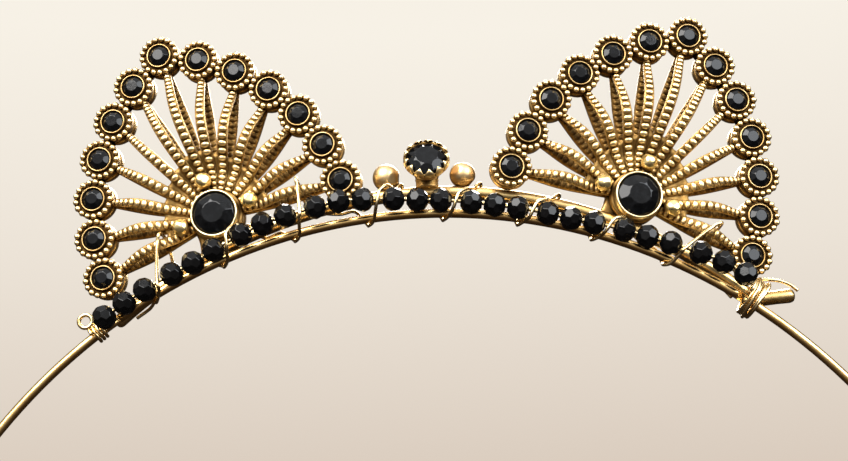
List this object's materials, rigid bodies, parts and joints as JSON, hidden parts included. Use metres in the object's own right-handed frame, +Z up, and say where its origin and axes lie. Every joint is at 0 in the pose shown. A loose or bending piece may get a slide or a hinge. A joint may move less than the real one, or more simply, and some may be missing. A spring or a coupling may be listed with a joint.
{
  "type": "headband",
  "caption": "Sprung wire headband with two filigree fan-shaped cat ears, black cut stones, a cup-set centre stone and a row of threaded faceted beads.",
  "frame": {"origin": "centre of the round arch of the band, in the plane of the band wire", "axes": "+Z up towards the crown as worn, -Y towards the front of the wearer, X across the head"},
  "size_m": [0.1412, 0.0105, 0.1489],
  "materials": {
    "band": "warm gilt wire, drawn smooth",
    "bar": "gilt bar with worn highlights",
    "binding_wire": "fine pale gold wire",
    "casting": "antique gold casting, dark in its recesses",
    "setting": "polished pale gold",
    "ball": "polished gold, dark at the solder",
    "cup": "antique gold sheet",
    "stone": "opaque black cut glass",
    "bead": "opaque black faceted glass"
  },
  "bodies": {
    "frame": {"band_top": "band", "base_bar": "bar", "bead_wire": "binding_wire", "binding_wire": "binding_wire", "end_binding_left": "binding_wire", "end_binding_right": "binding_wire", "front_fan_left": "casting", "back_fan_left": "casting", "rim_settings_left": "casting", "rim_stones_left": "stone", "hub_setting_left": "setting", "hub_stone_left": "stone", "hub_balls_left": "ball", "front_fan_right": "casting", "back_fan_right": "casting", "rim_settings_right": "casting", "rim_stones_right": "stone", "hub_setting_right": "setting", "hub_stone_right": "stone", "hub_balls_right": "ball", "centre_cup": "cup", "centre_stone": "stone", "centre_post": "cup", "centre_ball_left": "ball", "centre_ball_right": "ball"},
    "arm_left": {"band_arm_left": "band"},
    "arm_right": {"band_arm_right": "band"},
    "bead_body_01": {"bead_01": "bead"},
    "bead_body_02": {"bead_02": "bead"},
    "bead_body_03": {"bead_03": "bead"},
    "bead_body_04": {"bead_04": "bead"},
    "bead_body_05": {"bead_05": "bead"},
    "bead_body_06": {"bead_06": "bead"},
    "bead_body_07": {"bead_07": "bead"},
    "bead_body_08": {"bead_08": "bead"},
    "bead_body_09": {"bead_09": "bead"},
    "bead_body_10": {"bead_10": "bead"},
    "bead_body_11": {"bead_11": "bead"},
    "bead_body_12": {"bead_12": "bead"},
    "bead_body_13": {"bead_13": "bead"},
    "bead_body_14": {"bead_14": "bead"},
    "bead_body_15": {"bead_15": "bead"},
    "bead_body_16": {"bead_16": "bead"},
    "bead_body_17": {"bead_17": "bead"},
    "bead_body_18": {"bead_18": "bead"},
    "bead_body_19": {"bead_19": "bead"},
    "bead_body_20": {"bead_20": "bead"},
    "bead_body_21": {"bead_21": "bead"},
    "bead_body_22": {"bead_22": "bead"},
    "bead_body_23": {"bead_23": "bead"},
    "bead_body_24": {"bead_24": "bead"},
    "bead_body_25": {"bead_25": "bead"},
    "bead_body_26": {"bead_26": "bead"},
    "bead_body_27": {"bead_27": "bead"}
  },
  "joints": [
    {"name": "arm_left_flex", "type": "hinge", "parent": "frame", "child": "arm_left", "pos_m": [-0.04367, 0, 0.05471], "axis": [0, 1, 0], "range_deg": [-4, 14], "stiffness_Nm_per_rad": 0.12},
    {"name": "arm_right_flex", "type": "hinge", "parent": "frame", "child": "arm_right", "pos_m": [0.04367, 0, 0.05471], "axis": [0, -1, 0], "range_deg": [-4, 14], "stiffness_Nm_per_rad": 0.12},
    {"name": "bead_01_spin", "type": "hinge", "parent": "frame", "child": "bead_body_01", "pos_m": [-0.04158, -0.00215, 0.05712], "axis": [0.8085, 0, 0.5885], "continuous": true},
    {"name": "bead_02_spin", "type": "hinge", "parent": "frame", "child": "bead_body_02", "pos_m": [-0.03908, -0.00215, 0.05886], "axis": [0.8317, -0.0025, 0.5552], "continuous": true},
    {"name": "bead_03_spin", "type": "hinge", "parent": "frame", "child": "bead_body_03", "pos_m": [-0.03651, -0.00216, 0.0605], "axis": [0.8536, -0.005, 0.5209], "continuous": true},
    {"name": "bead_04_spin", "type": "hinge", "parent": "frame", "child": "bead_body_04", "pos_m": [-0.03311, -0.00218, 0.06245], "axis": [0.8812, -0.005, 0.4728], "continuous": true},
    {"name": "bead_05_spin", "type": "hinge", "parent": "frame", "child": "bead_body_05", "pos_m": [-0.03039, -0.0022, 0.06383], "axis": [0.8762, -0.0373, 0.4805], "continuous": true},
    {"name": "bead_06_spin", "type": "hinge", "parent": "frame", "child": "bead_body_06", "pos_m": [-0.02774, -0.00241, 0.06539], "axis": [0.8706, -0.069, 0.4871], "continuous": true},
    {"name": "bead_07_spin", "type": "hinge", "parent": "frame", "child": "bead_body_07", "pos_m": [-0.02422, -0.00269, 0.06724], "axis": [0.8966, -0.0686, 0.4375], "continuous": true},
    {"name": "bead_08_spin", "type": "hinge", "parent": "frame", "child": "bead_body_08", "pos_m": [-0.0214, -0.0029, 0.06854], "axis": [0.9309, -0.0441, 0.3625], "continuous": true},
    {"name": "bead_09_spin", "type": "hinge", "parent": "frame", "child": "bead_body_09", "pos_m": [-0.01845, -0.00296, 0.06948], "axis": [0.9584, -0.0196, 0.2849], "continuous": true},
    {"name": "bead_10_spin", "type": "hinge", "parent": "frame", "child": "bead_body_10", "pos_m": [-0.01459, -0.00304, 0.07051], "axis": [0.9727, -0.0196, 0.2313], "continuous": true},
    {"name": "bead_11_spin", "type": "hinge", "parent": "frame", "child": "bead_body_11", "pos_m": [-0.01155, -0.0031, 0.07117], "axis": [0.9907, 0.0245, 0.1335], "continuous": true},
    {"name": "bead_12_spin", "type": "hinge", "parent": "frame", "child": "bead_body_12", "pos_m": [-0.00844, -0.00289, 0.07134], "axis": [0.9971, 0.0684, 0.0344], "continuous": true},
    {"name": "bead_13_spin", "type": "hinge", "parent": "frame", "child": "bead_body_13", "pos_m": [-0.00445, -0.00261, 0.07137], "axis": [0.9974, 0.0687, -0.0213], "continuous": true},
    {"name": "bead_14_spin", "type": "hinge", "parent": "frame", "child": "bead_body_14", "pos_m": [-0.00137, -0.0024, 0.07124], "axis": [0.9979, 0.0469, -0.045], "continuous": true},
    {"name": "bead_15_spin", "type": "hinge", "parent": "frame", "child": "bead_body_15", "pos_m": [0.0017, -0.00232, 0.07109], "axis": [0.9973, 0.0248, -0.0685], "continuous": true},
    {"name": "bead_16_spin", "type": "hinge", "parent": "frame", "child": "bead_body_16", "pos_m": [0.00563, -0.00223, 0.07071], "axis": [0.992, 0.0248, -0.1238], "continuous": true},
    {"name": "bead_17_spin", "type": "hinge", "parent": "frame", "child": "bead_body_17", "pos_m": [0.00865, -0.00215, 0.07027], "axis": [0.9876, 0.01, -0.1567], "continuous": true},
    {"name": "bead_18_spin", "type": "hinge", "parent": "frame", "child": "bead_body_18", "pos_m": [0.01166, -0.00216, 0.06976], "axis": [0.9819, -0.005, -0.1894], "continuous": true},
    {"name": "bead_19_spin", "type": "hinge", "parent": "frame", "child": "bead_body_19", "pos_m": [0.01549, -0.00218, 0.06891], "axis": [0.9699, -0.005, -0.2436], "continuous": true},
    {"name": "bead_20_spin", "type": "hinge", "parent": "frame", "child": "bead_body_20", "pos_m": [0.01843, -0.0022, 0.0681], "axis": [0.9697, 0, -0.2443], "continuous": true},
    {"name": "bead_21_spin", "type": "hinge", "parent": "frame", "child": "bead_body_21", "pos_m": [0.0214, -0.00218, 0.06742], "axis": [0.9695, 0.005, -0.2451], "continuous": true},
    {"name": "bead_22_spin", "type": "hinge", "parent": "frame", "child": "bead_body_22", "pos_m": [0.02519, -0.00216, 0.06635], "axis": [0.9544, 0.005, -0.2986], "continuous": true},
    {"name": "bead_23_spin", "type": "hinge", "parent": "frame", "child": "bead_body_23", "pos_m": [0.0281, -0.00215, 0.06537], "axis": [0.9486, 0.0025, -0.3164], "continuous": true},
    {"name": "bead_24_spin", "type": "hinge", "parent": "frame", "child": "bead_body_24", "pos_m": [0.03103, -0.00215, 0.0644], "axis": [0.9424, 0, -0.3344], "continuous": true},
    {"name": "bead_25_spin", "type": "hinge", "parent": "frame", "child": "bead_body_25", "pos_m": [0.03477, -0.00215, 0.06295], "axis": [0.9222, 0, -0.3867], "continuous": true},
    {"name": "bead_26_spin", "type": "hinge", "parent": "frame", "child": "bead_body_26", "pos_m": [0.03762, -0.00215, 0.06168], "axis": [0.8805, 0, -0.4741], "continuous": true},
    {"name": "bead_27_spin", "type": "hinge", "parent": "frame", "child": "bead_body_27", "pos_m": [0.04025, -0.00215, 0.06], "axis": [0.8305, 0, -0.557], "continuous": true}
  ]
}
